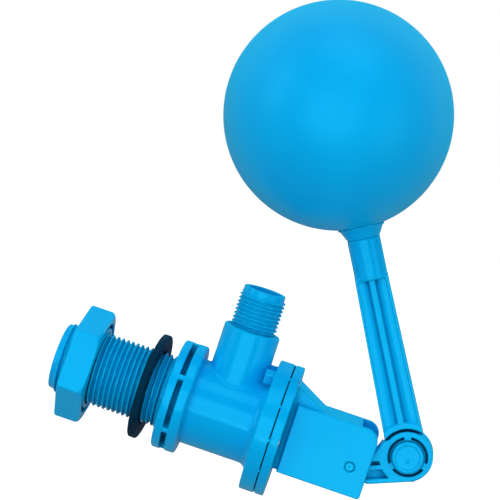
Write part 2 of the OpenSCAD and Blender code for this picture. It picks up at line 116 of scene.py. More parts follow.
# ---------- distance functions ----------
# Each takes coordinate arrays in millimetres and returns the signed distance to a solid.

def rect(u, v, half_u, half_v, soft=0.0):
    """A rectangle with rounded corners."""
    du = np.abs(u) - (half_u - soft)
    dv = np.abs(v) - (half_v - soft)
    outside = np.hypot(np.maximum(du, 0), np.maximum(dv, 0))
    return outside + np.minimum(np.maximum(du, dv), 0) - soft


def drum(radius, along, r, a, b, soft=0.4):
    """A cylinder of radius r between a and b along its axis."""
    return rect(radius, along - (a + b) / 2, r, (b - a) / 2, soft)


def slab(t, a, b):
    return np.abs(t - (a + b) / 2) - (b - a) / 2


def cuboid(x, y, z, low, high, soft=0.0):
    q = [np.abs(c - (a + b) / 2) - ((b - a) / 2 - soft) for c, a, b in zip((x, y, z), low, high)]
    outside = np.sqrt(sum(np.maximum(c, 0) ** 2 for c in q))
    return outside + np.minimum(np.maximum(np.maximum(q[0], q[1]), q[2]), 0) - soft


def outline(u, v, points):
    """A closed polygon."""
    pts = np.array(points, float)
    best = np.full(u.shape, 1e9)
    inside = np.zeros(u.shape, bool)
    for (ax, ay), (bx, by) in zip(pts, np.roll(pts, -1, axis=0)):
        ex, ey = bx - ax, by - ay
        wx, wy = u - ax, v - ay
        t = np.clip((wx * ex + wy * ey) / (ex * ex + ey * ey), 0, 1)
        best = np.minimum(best, (wx - t * ex) ** 2 + (wy - t * ey) ** 2)
        if ey != 0:
            crosses = (v >= min(ay, by)) & (v < max(ay, by))
            inside ^= crosses & (u < ax + ex * (v - ay) / ey)
    d = np.sqrt(best)
    return np.where(inside, -d, d)


def plate(d2, t, a, b, soft=0.5):
    """A flat solid with outline distance d2, between a and b across it."""
    du = d2 + soft
    dv = slab(t, a, b) + soft
    outside = np.hypot(np.maximum(du, 0), np.maximum(dv, 0))
    return outside + np.minimum(np.maximum(du, dv), 0) - soft


def join(a, b, r=0.0):
    """Both solids, with a fillet of radius r where they meet."""
    if not r:
        return np.minimum(a, b)
    u, v = np.maximum(r - a, 0), np.maximum(r - b, 0)
    return np.maximum(r, np.minimum(a, b)) - np.hypot(u, v)


def both(a, b, r=0.0):
    """What the two solids share, with its edge rounded to radius r."""
    return -join(-a, -b, r)


def cut(a, b, r=0.0):
    """Solid a less solid b, with the cut's rim rounded to radius r."""
    return both(a, -b, r)


def spokes(y, z, count, half_width):
    """Radial walls around the X axis, the first standing up along +Z."""
    d = np.full(y.shape, 1e9)
    for i in range(count):
        a = math.pi * i / count
        d = np.minimum(d, np.abs(y * math.cos(a) + z * math.sin(a)))
    return d - half_width


def around(y, z, turn):
    """Coordinates turned about the X axis by turn degrees, measured from +Z towards +Y."""
    a = math.radians(turn)
    return y * math.cos(a) - z * math.sin(a), y * math.sin(a) + z * math.cos(a)


def screw_thread(radius, angle, along, crest, pitch, start, end):
    """A right-hand thread with rounded crests that fades in and out over one turn."""
    phase = along / pitch - angle / (2 * math.pi)
    ramp = np.abs((phase % 1.0) * 2 - 1)
    ridge = np.clip((ramp - 1 / 6) * 1.5, 0, 1)
    ridge = 0.45 * ridge + 0.55 * ridge * ridge * (3 - 2 * ridge)
    fade = np.clip(np.minimum(along - start, end - along) / pitch + 0.15, 0, 1)
    depth = THREAD_DEPTH * pitch
    return (radius - (crest - depth + depth * ridge * fade)) * THREAD_SLOPE


# ---------- from distance function to mesh ----------

BLOCK = 8
THIN_STEP = 0.6   # a coarser mesh than this is already as coarse as its walls allow
TETRA = np.array([[1, -1, -1], [-1, -1, 1], [-1, 1, -1], [1, 1, 1]], float)


def gradient(solid, p, reach=0.04):
    g = np.zeros_like(p)
    for k in TETRA:
        q = p + k * reach
        g += k * solid(q[:, 0], q[:, 1], q[:, 2])[:, None]
    return g / (4 * reach)


def sample_blocks(solid, low, step, counts):
    """Corner values of every block of cells that the surface may pass through."""
    grid = np.stack(np.meshgrid(*[np.arange(n) for n in counts], indexing="ij"), -1).reshape(-1, 3)
    centre = low + (grid + 0.5) * BLOCK * step
    near = np.abs(solid(centre[:, 0], centre[:, 1], centre[:, 2])) < BLOCK * step * 1.05
    grid = grid[near] * BLOCK
    corner = np.stack(np.meshgrid(*[np.arange(BLOCK + 1)] * 3, indexing="ij"), -1).reshape(-1, 3)
    values = []
    for i in range(0, len(grid), 1500):
        p = (low + (grid[i:i + 1500, None, :] + corner[None]) * step).reshape(-1, 3)
        values.append(solid(p[:, 0], p[:, 1], p[:, 2]).reshape(-1, BLOCK + 1, BLOCK + 1, BLOCK + 1))
    return grid, np.concatenate(values)


def find_edges(grid, values):
    """Grid edges that the surface crosses, as (start, axis, share, sign) arrays."""
    rows = []
    near = values[:, :BLOCK, :BLOCK, :BLOCK]
    for axis in range(3):
        far = np.roll(values, -1, axis=axis + 1)[:, :BLOCK, :BLOCK, :BLOCK]
        hit = np.nonzero((near < 0) != (far < 0))
        start = grid[hit[0]] + np.stack(hit[1:], -1)
        a, b = near[hit], far[hit]
        rows.append((start, np.full(len(a), axis), a / (a - b), a < 0))
    return [np.concatenate(c) for c in zip(*rows)]


def contour(solid, low, high, step):
    """Dual contouring: vertices and quads of the solid's surface, sharp edges kept."""
    if step < THIN_STEP:
        step = step * COARSE
    low = np.array(low, float) - 1.5 * step
    counts = np.ceil((np.array(high) + 1.5 * step - low) / step / BLOCK).astype(int)
    grid, values = sample_blocks(solid, low, step, counts)
    start, axis, share, inside = find_edges(grid, values)
    point = start + 0.0
    point[np.arange(len(point)), axis] += share
    point = low + point * step
    normal = gradient(solid, point)
    normal /= np.maximum(np.linalg.norm(normal, axis=1), 1e-9)[:, None]

    size = counts * BLOCK + 2
    key_of = lambda c: (c[:, 0] * size[1] + c[:, 1]) * size[2] + c[:, 2]
    others = np.array([[1, 2], [2, 0], [0, 1]])[axis]
    corners = []
    for da, db in ((0, 0), (1, 0), (1, 1), (0, 1)):
        cell = start.copy()
        rows = np.arange(len(cell))
        cell[rows, others[:, 0]] -= da
        cell[rows, others[:, 1]] -= db
        corners.append(key_of(cell + 1))
    keys = np.stack(corners, 1)
    cells, index = np.unique(keys.ravel(), return_inverse=True)
    index = index.reshape(-1, 4)
    total = len(cells)

    spread = lambda w: np.bincount(index.ravel(), np.repeat(w, 4), total)
    count = spread(np.ones(len(point)))
    mean = np.stack([spread(point[:, i]) for i in range(3)], 1) / count[:, None]
    a = np.zeros((total, 3, 3))
    for i in range(3):
        for j in range(i, 3):
            a[:, i, j] = a[:, j, i] = spread(normal[:, i] * normal[:, j])
    reach = (normal * point).sum(1)
    b = np.stack([spread(normal[:, i] * reach) for i in range(3)], 1)
    b -= np.einsum("nij,nj->ni", a, mean)
    a += np.eye(3) * 0.04 * count[:, None, None]
    vertex = mean + np.linalg.solve(a, b[:, :, None])[:, :, 0]
    c = np.stack([cells // (size[1] * size[2]), cells // size[2] % size[1], cells % size[2]], 1) - 1
    vertex = np.clip(vertex, low + c * step, low + (c + 1) * step)
    quads = np.where(inside[:, None], index, index[:, ::-1])
    return vertex, quads


def mould(name, body, solid, low, high, step, material):
    """A piece of the object: the solid's surface as a smooth mesh that rides on a CAD body."""
    vertex, quads = contour(solid, low, high, step)
    normal = gradient(solid, vertex)
    normal /= np.maximum(np.linalg.norm(normal, axis=1), 1e-9)[:, None]
    mesh = bpy.data.meshes.new(name)
    mesh.vertices.add(len(vertex))
    mesh.vertices.foreach_set("co", (vertex * MM).astype(np.float32).ravel())
    mesh.loops.add(quads.size)
    mesh.loops.foreach_set("vertex_index", quads.astype(np.int32).ravel())
    mesh.polygons.add(len(quads))
    mesh.polygons.foreach_set("loop_start", np.arange(0, quads.size, 4, dtype=np.int32))
    mesh.update(calc_edges=True)
    mesh.validate()
    mesh.polygons.foreach_set("use_smooth", np.ones(len(mesh.polygons), bool))
    if len(mesh.vertices) == len(normal):
        mesh.normals_split_custom_set_from_vertices(normal)
    mesh.materials.append(material)
    obj = bpy.data.objects.new(name, mesh)
    bpy.context.scene.collection.objects.link(obj)
    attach(obj, body)
    return obj


# ---------- shapes of the moulded pieces ----------

def fold(y, z, count, first):
    """Coordinates folded into one of count sectors round the X axis, the first at first degrees from +Z."""
    pitch = 2 * math.pi / count
    a = np.arctan2(y, z) - math.radians(first)
    a = (a + pitch / 2) % pitch - pitch / 2
    r = np.hypot(y, z)
    return r * np.sin(a), r * np.cos(a)


def valve_body(x, y, z):
    radius = np.hypot(y, z)
    branch = np.hypot(x - BRANCH_X, y)

    # threaded shank, with a plain collar against the wall flange
    d = screw_thread(radius, np.arctan2(z, y), x, SHANK_R, SHANK_PITCH, SHANK_END + 1.9, -1.0)
    d = both(d, slab(x, SHANK_END + 1.6, 1.0), 0.3)
    d = join(d, drum(radius, x, 15.0, SHANK_END, 1.0, 0.7))
    d = join(d, drum(radius, x, SHANK_R + 0.02, -2.0, 1.0, 0.25))

    # wall flange, with pockets cored into its rim
    flange = drum(radius, x, WALL_FLANGE_R, 0, WALL_FLANGE_T, 1.0)
    pocket = both(slab(x, 3.8, 6.4), 19 - radius, 0.6)
    pocket = both(pocket, -spokes(y, z, 3, 1.15), 0.4)
    d = join(d, cut(flange, pocket, 0.35), 0.3)

    # barrel and clamping flange
    d = join(d, drum(radius, x, BARREL_R, 5, CLAMP_X + 2), 0.6)
    d = join(d, drum(radius, x, CLAMP_R, CLAMP_X, CLAMP_X + CLAMP_T, 0.6), 4.0)

    # outlet branch
    socket = drum(branch + 0.005 * z, z, BRANCH_R + 0.2, 0, BRANCH_H, 0.9)
    d = join(d, socket, 0.9)
    outlet = screw_thread(branch, np.arctan2(y, x - BRANCH_X), z, OUTLET_R, OUTLET_PITCH,
                          BRANCH_H + 0.2, OUTLET_TOP - 1.7)
    outlet = both(outlet, slab(z, BRANCH_H - 1, OUTLET_TOP - 1.7), 0.3)
    outlet = join(outlet, drum(branch, z, 9.58, BRANCH_H - 1, OUTLET_TOP, 0.5))
    d = join(d, outlet)

    # two lugs behind the clamping flange, and small pads in the gap before the cover
    for turn in (-26, 34):
        ly, lz = around(y, z, turn)
        d = join(d, cuboid(x, ly, lz, (CLAMP_X - 4.2, -2.2, 23.2), (CLAMP_X + 1, 2.2, 28.5), 0.4), 0.5)
    py, pz = fold(y, z, 12, 0)
    d = join(d, cuboid(x, py, pz, (CLAMP_X + 5, -0.7, 28.4), (COVER_FACE - 0.02, 0.7, 30.05), 0.15))

    # waterways, diaphragm recess and screw holes
    d = cut(d, drum(radius, x, SHANK_BORE_R, SHANK_END - 5, 8.0, 0.5), 0.6)
    chamber = drum(radius, x, CHAMBER_R, 12.0, COVER_FACE + 5, 1.0)
    d = cut(d, cut(chamber, drum(radius, x, 11.0, 5, 20.0, 0.5)), 0.3)
    d = cut(d, drum(radius, x, HUB_BORE_R, 2, 26, 0.0))
    d = cut(d, drum(radius, x, DIAPHRAGM_R, COVER_FACE - 2.02, COVER_FACE + 5, 0.0), 0.3)
    d = cut(d, drum(branch, z, OUTLET_BORE_R, 10.0, OUTLET_TOP + 5, 0.0), 0.5)
    hy, hz = fold(y, z, SCREW_COUNT, SCREW_FIRST)
    return cut(d, drum(np.hypot(hy, hz - SCREW_PCD_R), x, SCREW_HOLE_R, 44.8, COVER_FACE + 5, 0.0))


def guard_side(x, z, x0, x1, inset, corner):
    """The guard from the side: square towards the flange, its open end rounded at the top."""
    d = both(x - x1, z - GUARD_TOP + inset, corner)
    d = both(d, -GUARD_DROP + inset - z, 1.5)
    return both(d, x0 - x)


def cover(x, y, z):
    radius = np.hypot(y, z)
    inner = GUARD_HALF - CHEEK_T
    boss_end = GUARD_X + 11

    # flange, open-bottomed guard and gusset
    d = drum(radius, x, CLAMP_R, COVER_FACE, COVER_BACK, 0.5)
    neck_side = guard_side(x, z, COVER_BACK - 2, GUARD_X + 2, 0.6, 1.0)
    neck = plate(neck_side, y, -GUARD_HALF + 2, GUARD_HALF - 2, 1.0)
    d = join(d, neck, 0.9)

    guard_outline = guard_side(x, z, GUARD_X, GUARD_END, 0.0, 6.0)
    guard = plate(guard_outline, y, -GUARD_HALF, GUARD_HALF, 0.7)
    roof = GUARD_TOP - 3
    hollow = cuboid(x, y, z, (GUARD_X + 3, -inner, -60), (200, inner, roof), 1.0)
    notch = cuboid(x, y, z, (PIVOT[0] - 0.1, -inner, 0), (200, inner, 60), 1.0)
    guard = cut(cut(guard, hollow, 0.3), notch, 0.4)
    guard = join(guard, drum(radius, x, 7.0, GUARD_X, boss_end, 0.5), 0.8)
    d = join(d, guard, 0.25)
    gusset = [(COVER_BACK - 1, 10), (boss_end + 1.5, 10), (boss_end + 1.5, GUARD_TOP),
              (COVER_BACK, GUSSET_TOP), (COVER_BACK - 1, GUSSET_TOP)]
    d = join(d, plate(outline(x, z, gusset), y, -9, 9, 0.7), 0.8)

    # plunger guide, diaphragm dish, screw holes and lever pin
    d = cut(d, drum(radius, x, 4.05, COVER_FACE - 1, 90, 0.0), 0.3)
    d = cut(d, drum(radius, x, 8.3, COVER_FACE - 5, COVER_FACE + 5.7, 0.4))
    dish = [(-30, COVER_FACE - 5), (CHAMBER_R, COVER_FACE - 5), (CHAMBER_R, COVER_FACE + 0.6),
            (0, COVER_FACE + 2.4)]
    d = cut(d, outline(radius, x, dish))
    hy, hz = fold(y, z, SCREW_COUNT, SCREW_FIRST)
    hole = np.hypot(hy, hz - SCREW_PCD_R)
    d = cut(d, drum(hole, x, SCREW_HOLE_R, COVER_FACE - 5, 90, 0.0))
    sink = np.maximum((hole - 4.0 + COVER_BACK - x) * 0.7, slab(x, COVER_BACK - 1.95, COVER_BACK + 0.3))
    d = cut(d, sink)
    pin = np.hypot(x - PIVOT[0], z - PIVOT[2])
    d = cut(d, pin - PIN_HOLE_R)
    groove = both(pin - PIN_RING_R, GUARD_HALF - 0.5 - np.abs(y))
    return cut(d, groove, 0.12)


def to_lever(x, z):
    """Coordinates from the lever pivot, along and across the lever."""
    dx, dz = x - PIVOT[0], z - PIVOT[2]
    c, s = math.cos(LEVER_TILT), math.sin(LEVER_TILT)
    return dx * c + dz * s, dz * c - dx * s


def lever(x, y, z):
    u, v = to_lever(x, z)
    disc = np.hypot(u - LEVER_LEN, v)
    cam_u, cam_v = to_lever(PIVOT[0], 0.0)
    low_u, low_v = -ELBOW_R * math.sin(SKIRT_TURN), -ELBOW_R * math.cos(SKIRT_TURN)
    neck = [(cam_u - 2, cam_v - 7.6), (5.1, -9.2), (6.1, -9.75), (7.7, -9.96), (LEVER_LEN + low_u, low_v),
            (LEVER_LEN - 1.3, 9.7), (16.0, 8.1), (10.8, 3.0), (cam_u, cam_v + 5)]
    side = join(np.hypot(u - cam_u, v - cam_v) - CAM_R, outline(u, v, neck), 1.0)
    d = plate(join(side, disc - ELBOW_R), y, -ELBOW_HALF, ELBOW_HALF, 0.6)
    inner = GUARD_HALF - CHEEK_T - 0.2
    d = join(d, drum(np.hypot(u, v), y, 5.8, -inner, inner, 0.4), 0.6)

    # pocket below the disc, with one rib across it
    c, s = math.cos(SKIRT_TURN), math.sin(SKIRT_TURN)
    skirt_u, skirt_v = (u - LEVER_LEN) * c - v * s, (u - LEVER_LEN) * s + v * c
    pocket = both(rect(skirt_u + 13.6, skirt_v + 5.1, 8, 3.9, 0.8), LAP_R + 0.2 - disc, 0.5)
    pocket = cut(pocket, slab(skirt_v, -4.9, -2.9), 0.3)
    d = cut(d, both(pocket, y + ELBOW_HALF - 3.0, 0.4), 0.35)

    # three slots around the elbow's button, and the seat that the button sits in
    slot_ring = both(disc - 8.9, BOLT_HEAD_R + 0.6 - disc)
    for turn in (82, 202, 322):
        a = math.radians(turn)
        along = (u - LEVER_LEN) * math.cos(a) + v * math.sin(a)
        across = np.abs((u - LEVER_LEN) * math.sin(a) - v * math.cos(a))
        slot_ring = cut(slot_ring, np.maximum(across - 1.55, -along))
    d = cut(d, both(slot_ring, y + ELBOW_HALF - 3.5, 0.2), 0.2)
    d = cut(d, both(disc - BOLT_HEAD_R - 0.15, y + ELBOW_HALF - 1.5), 0.3)

    # half lap with the arm, and the two holes
    d = cut(d, both(disc - LAP_R, -y), 0.25)
    d = cut(d, disc - BOLT_R - RUN_GAP)
    return cut(d, np.hypot(u, v) - 1.85)


def to_arm(x, z):
    """Coordinates from the elbow, across and along the float arm."""
    dx, dz = x - ELBOW[0], z - ELBOW[2]
    c, s = math.cos(ARM_TILT), math.sin(ARM_TILT)
    return dx * c - dz * s, dx * s + dz * c


def float_arm(x, y, z):
    # tapering strip, faired into the socket, and the elbow's rear disc
    a, s = to_arm(x, z)
    disc = np.hypot(a, s)
    half_w = 8.65 - 1.35 * np.clip((s - 2) / (SOCKET_S - 19), 0, 1)
    strip = both(np.abs(a) - half_w, slab(s, 2, SOCKET_S - 17))
    side = join(strip, disc - ELBOW_R - 0.1)
    tube = np.hypot(a, y)
    d = plate(side, y, -5.6, 5.6, 0.8)
    d = both(d, (tube - SOCKET_R - (SOCKET_S - 16.0 - s) * 0.67) * 0.83, 0.5)
    head = both(plate(side, y, -ELBOW_HALF, ELBOW_HALF, 0.6), disc - 15.0, 0.4)
    d = join(d, head)

    # hollows on both faces, beside the middle rib, with two ejector marks
    across = np.abs(a)
    share = np.clip((across - 1.2) / (half_w - 2.2), 0, 1)
    floor = 3.4 + 1.5 * (1 - (1 - share) ** 3)
    hollow = both(0.85 * (floor - np.abs(y)), 1.3 + 0.05 * (5.6 - np.abs(y)) - across, 0.5)
    hollow = both(hollow, across - half_w + 1.0, 0.3)
    hollow = both(hollow, both(15.4 - disc, s - SOCKET_S + 18.2), 0.8)
    d = cut(d, hollow, 0.4)
    for mark_a, mark_s in ((-5.0, 18.7), (5.4, 17.8)):
        mark = np.hypot(a - mark_a, s - mark_s)
        d = join(d, np.maximum(mark - 1.1, np.abs(y) - 4.35 + 0.12 * np.abs(mark_a)), 0.1)

    # socket, half lap and elbow hole
    d = join(d, drum(tube, s, SOCKET_R, SOCKET_S - 18.4, SOCKET_S, 0.5), 0.6)
    d = cut(d, drum(tube, s, 5.45, SOCKET_S - 15, SOCKET_S + 10, 0.5), 0.4)
    d = cut(d, both(disc - LAP_R, y), 0.3)
    return cut(d, disc - BOLT_R - RUN_GAP, 0.3)


def elbow_pin(x, y, z):
    radius = np.hypot(x - ELBOW[0], z - ELBOW[2])
    front = -ELBOW_HALF - 2.4
    d = drum(radius, y, BOLT_HEAD_R, front, -ELBOW_HALF + 1.48, 0.8)
    d = join(d, drum(radius, y, BOLT_R, -ELBOW_HALF, ELBOW_HALF + 8, 0.5))
    d = cut(d, drum(radius, y, 5.5, front - 3, front + 0.5, 0.2), 0.3)
    gate = np.hypot(x - ELBOW[0] - 0.4, (z - ELBOW[2] + 1.1) * 0.6)
    return join(d, drum(gate, y, 0.6, front, front + 1, 0.2) * 0.6, 0.2)


def lock_nut(x, y, z):
    radius = np.hypot(y, z)
    c, s = math.cos(NUT_TURN), math.sin(NUT_TURN)
    y, z = y * c + z * s, z * c - y * s
    x0, x1 = float(NUT_LOW[0]), float(NUT_HIGH[0])
    d = np.abs(y) - NUT_HALF_FLATS
    for turn in (60, 120):
        a = math.radians(turn)
        d = both(d, np.abs(y * math.cos(a) + z * math.sin(a)) - NUT_HALF_FLATS, 0.5)
    d = both(d, slab(x, x0, x1), 0.4)
    d = both(d, (radius - 25.5) * 0.6 - (x - x0) * 0.8, 0.3)
    d = both(d, (radius - 24.7) * 0.6 + (x - x1) * 0.8, 1.0)
    d = cut(d, radius - NUT_BORE_R)
    d = cut(d, (radius - 17.9 + x - x0) * 0.7, 0.2)
    ring = both(radius - 20.9, 18.8 - radius)
    return cut(d, both(ring, x1 - 2.5 - x, 0.4), 0.3)


def wall_gasket(x, y, z):
    low, high = box_mm("wall_gasket")
    centre = (low + high) / 2
    turn = Matrix.Rotation(GASKET_SWING, 3, "Z") @ Matrix.Rotation(GASKET_LEAN, 3, "Y")
    r = np.array(turn.transposed())
    dx, dy, dz = x - centre[0], y - centre[1], z - centre[2]
    along, across, up = [row[0] * dx + row[1] * dy + row[2] * dz for row in r]
    middle, half = (GASKET_R + GASKET_HOLE_R) / 2, (GASKET_R - GASKET_HOLE_R) / 2
    return rect(np.hypot(across, up) - middle, along, half, GASKET_T / 2, 0.45)


def shell(side):
    """Half of the hollow ball, on the near side (-1) or the far side (1)."""
    def solid(x, y, z):
        from_centre = np.sqrt((x - BALL[0]) ** 2 + y ** 2 + (z - BALL[2]) ** 2)
        d = np.abs(from_centre - BALL_R + BALL_WALL / 2) - BALL_WALL / 2
        a, s = to_arm(x, z)
        d = cut(d, np.maximum(np.hypot(a, y) - PLUG_R - RUN_GAP, s - BALL_S))
        return both(d, -side * y)
    return solid


def float_stem(x, y, z):
    a, s = to_arm(x, z)
    tube = np.hypot(a, y)
    from_centre = np.sqrt((x - BALL[0]) ** 2 + y ** 2 + (z - BALL[2]) ** 2)
    cone = both(tube - 7.5 - (s - SOCKET_S - 0.5) * 0.52, slab(s, SOCKET_S, SOCKET_S + 9), 0.25)
    cone = join(cone, drum(tube, s, 10.4, SOCKET_S + 4.7, SOCKET_S + 9, 0.3), 0.3)
    cone = cut(cone, from_centre - BALL_R - 0.02)
    spigot = drum(tube, s, 5.4, SOCKET_S - 14, SOCKET_S + 1, 0.6)
    plug = drum(tube, s, PLUG_R, SOCKET_S + 1, BALL_S - BALL_R + 6, 0.4)
    return join(join(cone, spigot), plug)


def wing_nut(x, y, z):
    u, v = to_lever(x, z)
    u = u - LEVER_LEN
    radius = np.hypot(u, v)
    y0 = ELBOW_HALF + 0.84
    d = both(drum(radius, y, 6.6, y0, y0 + 6.4, 0.4), (radius - 6.9 + 0.17 * (y - y0)) * 0.98, 0.3)
    across = np.abs(v)
    wing = np.hypot(across - 10.9, y - y0 - 5.4) - 4.0
    stalk = outline(across, y, [(3, y0 + 1.2), (9, y0 + 1.6), (12, y0 + 3), (9, y0 + 8.6), (3, y0 + 5.4)])
    wing = plate(join(wing, stalk, 1.5), u, -1.3, 1.3, 0.6)
    d = join(d, wing, 1.2)
    return cut(d, radius - BOLT_R - RUN_GAP, 0.3)


# ---------- materials ----------

MIX_A, MIX_B, MIX_RESULT = 6, 7, 2   # a Mix node's colour sockets
CREVICE = 0.004                      # how far, in metres, a surface looks for walls around it


def new_material(name, colour, rough):
    """A node material with a Principled shader, its nodes and a coordinate source in metres."""
    mat = bpy.data.materials.new(name)
    mat.use_nodes = True
    nodes, links = mat.node_tree.nodes, mat.node_tree.links
    shader = nodes["Principled BSDF"]
    shader.inputs["Base Color"].default_value = (*colour, 1)
    shader.inputs["Roughness"].default_value = rough
    place = nodes.new("ShaderNodeTexCoord").outputs["Object"]
    return mat, nodes, links, shader, place


def noise(nodes, links, place, scale, detail=3.0, stretch=None):
    if stretch:
        mapping = nodes.new("ShaderNodeMapping")
        mapping.inputs["Scale"].default_value = stretch
        links.new(place, mapping.inputs["Vector"])
        place = mapping.outputs["Vector"]
    tex = nodes.new("ShaderNodeTexNoise")
    tex.inputs["Scale"].default_value = scale
    tex.inputs["Detail"].default_value = detail
    links.new(place, tex.inputs["Vector"])
    return tex.outputs["Fac"]


def between(nodes, links, value, start, end, low, high):
    """Maps a value from start..end to low..high, held at both ends."""
    m = nodes.new("ShaderNodeMapRange")
    for key, number in zip(("From Min", "From Max", "To Min", "To Max"), (start, end, low, high)):
        m.inputs[key].default_value = number
    links.new(value, m.inputs["Value"])
    return m.outputs["Result"]


def ramp(nodes, links, value, low, high):
    """Maps a noise value, which keeps near its middle, to the range low to high."""
    return between(nodes, links, value, 0.3, 0.7, low, high)


def blend_colour(nodes, links, factor, first, second):
    """Blends from the first colour, a socket or a fixed colour, to the second, a fixed colour."""
    mix = nodes.new("ShaderNodeMix")
    mix.data_type = "RGBA"
    if isinstance(first, tuple):
        mix.inputs[MIX_A].default_value = (*first, 1)
    else:
        links.new(first, mix.inputs[MIX_A])
    mix.inputs[MIX_B].default_value = (*second, 1)
    links.new(factor, mix.inputs["Factor"])
    return mix.outputs[MIX_RESULT]


def product(nodes, links, first, second):
    """Two values multiplied."""
    times = nodes.new("ShaderNodeMath")
    times.operation = "MULTIPLY"
    links.new(first, times.inputs[0])
    links.new(second, times.inputs[1])
    return times.outputs[0]


# the mask for painted shade in crevices, from ambient occlusion
def crevices(nodes, links, shut, clear):
    """1 where the surroundings are closed in as far as shut, falling to 0 where they are clear."""
    hidden = nodes.new("ShaderNodeAmbientOcclusion")
    hidden.inputs["Distance"].default_value = CREVICE
    hidden.samples = 6
    return between(nodes, links, hidden.outputs["AO"], shut, clear, 1.0, 0.0)


def bumps(nodes, links, shader, layers):
    """Stacks bump layers, each a (height socket, distance in metres, strength)."""
    previous = None
    for height, distance, strength in layers:
        node = nodes.new("ShaderNodeBump")
        node.inputs["Distance"].default_value = distance
        node.inputs["Strength"].default_value = strength
        links.new(height, node.inputs["Height"])
        if previous:
            links.new(previous, node.inputs["Normal"])
        previous = node.outputs["Normal"]
    links.new(previous, shader.inputs["Normal"])


def moulded_plastic(name, colour, dark, light, rim, painted_shade, rough):
    """Injection-moulded ABS: faint flow marks, fine texture, paler edges (partly wear, partly a painted
    highlight), a painted rim sheen and painted shade in crevices.
    """
    mat, nodes, links, shader, place = new_material(name, colour, rough)
    flow = noise(nodes, links, place, 38, 2.0, (1.0, 1.0, 0.35))
    tone = blend_colour(nodes, links, ramp(nodes, links, flow, 0, 1), dark, colour)
    # paler on sharp convex edges: partly wear, partly a painted edge highlight
    edge = nodes.new("ShaderNodeNewGeometry").outputs["Pointiness"]
    edge_wear_and_highlight = between(nodes, links, edge, 0.52, 0.60, 0.0, 1.0)
    worn_and_highlit = blend_colour(nodes, links, edge_wear_and_highlight, tone, light)
    # a painted rim sheen: the base colour turns a lighter cyan where the surface turns away from view, standing in
    # for reflection
    facing = nodes.new("ShaderNodeLayerWeight").outputs["Facing"]
    painted_rim_sheen_mask = between(nodes, links, facing, 0.35, 0.9, 0.0, 0.7)
    with_painted_rim_sheen = blend_colour(nodes, links, painted_rim_sheen_mask, worn_and_highlit, rim)
    # painted shade: the base colour goes dark navy in crevices, pockets, slots and gaps, found by ambient
    # occlusion
    shade = crevices(nodes, links, 0.15, 0.8)
    links.new(blend_colour(nodes, links, shade, with_painted_rim_sheen, painted_shade), shader.inputs["Base Color"])
    fine = noise(nodes, links, place, 900, 3.0)
    links.new(ramp(nodes, links, fine, rough - 0.04, rough + 0.05), shader.inputs["Roughness"])
    wave = noise(nodes, links, place, 120, 1.0)
    scuff = noise(nodes, links, place, 700, 5.0, (1.0, 0.12, 1.0))
    bumps(nodes, links, shader, [(wave, 0.00012, 0.25), (fine, 0.00003, 0.35), (scuff, 0.00002, 0.2)])
    shader.inputs["Specular Tint"].default_value = (0.06, 0.82, 1.0, 1)
    # reflections are dimmed too where the painted shade falls
    gloss = between(nodes, links, facing, 0.15, 1.0, 0.75, 0.02)
    bare = between(nodes, links, shade, 0.0, 0.5, 1.0, 0.0)
    links.new(product(nodes, links, gloss, bare), shader.inputs["Specular IOR Level"])
    return mat


def soft_rubber(name, colour, rough):
    """Black rubber: matt, with a bloom of fine dust and a fine grain."""
    mat, nodes, links, shader, place = new_material(name, colour, rough)
    dust = noise(nodes, links, place, 160, 6.0)
    pale = (colour[0] + 0.001, colour[1] + 0.016, colour[2] + 0.034)
    shader.inputs["Specular Tint"].default_value = (0.1, 0.6, 1.0, 1)
    shader.inputs["Specular IOR Level"].default_value = 0.2
    dusty = blend_colour(nodes, links, ramp(nodes, links, dust, 0, 1), colour, pale)
    links.new(dusty, shader.inputs["Base Color"])
    grain = noise(nodes, links, place, 1800, 2.0)
    bumps(nodes, links, shader, [(grain, 0.00005, 0.5)])
    return mat


def natural_nylon(name, colour, rough):
    """Unfilled nylon: milky, slightly see-through."""
    mat, nodes, links, shader, place = new_material(name, colour, rough)
    shader.inputs["Subsurface Weight"].default_value = 0.3
    shader.inputs["Subsurface Scale"].default_value = 0.002
    cloud = noise(nodes, links, place, 220, 3.0)
    links.new(ramp(nodes, links, cloud, rough - 0.06, rough + 0.06), shader.inputs["Roughness"])
    bumps(nodes, links, shader, [(cloud, 0.00004, 0.3)])
    return mat


def turned_steel(name, colour, rough):
    """Stainless steel with fine turning marks, and painted shade in its crevices."""
    mat, nodes, links, shader, place = new_material(name, colour, rough)
    shader.inputs["Metallic"].default_value = 1.0
    tone = nodes.new("ShaderNodeRGB").outputs[0]
    tone.default_value = (*colour, 1)
    # painted shade: blue-black in crevices, found by ambient occlusion
    shade = crevices(nodes, links, 0.15, 0.45)
    links.new(blend_colour(nodes, links, shade, tone, (0.0, 0.05, 0.12)), shader.inputs["Base Color"])
    marks = noise(nodes, links, place, 1500, 4.0, (1.0, 0.15, 0.15))
    links.new(ramp(nodes, links, marks, rough - 0.08, rough + 0.1), shader.inputs["Roughness"])
    bumps(nodes, links, shader, [(marks, 0.00003, 0.4)])
    return mat


